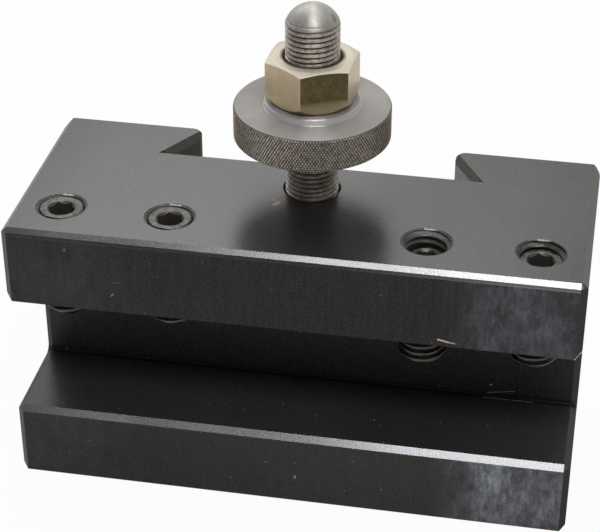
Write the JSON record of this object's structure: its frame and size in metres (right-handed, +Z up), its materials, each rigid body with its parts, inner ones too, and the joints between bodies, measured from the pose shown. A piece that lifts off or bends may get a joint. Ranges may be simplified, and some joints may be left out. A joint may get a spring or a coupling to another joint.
{
  "type": "lathe tool holder",
  "caption": "Black steel quick-change lathe tool holder: open tool slot with clamp screws over it, dovetail groove behind, and a knurled height wheel with a lock nut on a stud.",
  "frame": {"origin": "middle of the block's underside, in the middle of its length and depth", "axes": "+X along the tool slot and the block's length, +Y towards the tool post (the dovetail side), +Z up along the stud"},
  "size_m": [0.1524, 0.0636, 0.1332],
  "materials": {
    "black_steel": "black oxide, oiled, satin",
    "stud_steel": "turned bare steel",
    "wheel_steel": "turned bare steel with a knurled rim",
    "plated_nut": "pale yellow zinc plate, satin",
    "screw_steel": "worn bare steel"
  },
  "bodies": {
    "holder": {"holder_body": "black_steel", "height_stud": "stud_steel"},
    "height_wheel": {"height_wheel": "wheel_steel"},
    "lock_nut": {"lock_nut": "plated_nut"},
    "clamp_screw_1": {"clamp_screw_1": "screw_steel"},
    "clamp_screw_2": {"clamp_screw_2": "screw_steel"},
    "clamp_screw_3": {"clamp_screw_3": "screw_steel"},
    "clamp_screw_4": {"clamp_screw_4": "screw_steel"}
  },
  "joints": [
    {"name": "height_wheel_travel", "type": "slide", "parent": "holder", "child": "height_wheel", "axis": [0, 0, 1], "range_m": [-0.01552, 0.00423]},
    {"name": "lock_nut_travel", "type": "slide", "parent": "height_wheel", "child": "lock_nut", "axis": [0, 0, 1], "range_m": [0, 0.00564]},
    {"name": "clamp_screw_1_travel", "type": "slide", "parent": "holder", "child": "clamp_screw_1", "axis": [0, 0, 1], "range_m": [-0.01172, 0.00977]},
    {"name": "clamp_screw_2_travel", "type": "slide", "parent": "holder", "child": "clamp_screw_2", "axis": [0, 0, 1], "range_m": [-0.01172, 0.00977]},
    {"name": "clamp_screw_3_travel", "type": "slide", "parent": "holder", "child": "clamp_screw_3", "axis": [0, 0, 1], "range_m": [-0.00782, 0.01368]},
    {"name": "clamp_screw_4_travel", "type": "slide", "parent": "holder", "child": "clamp_screw_4", "axis": [0, 0, 1], "range_m": [-0.00977, 0.01172]}
  ]
}
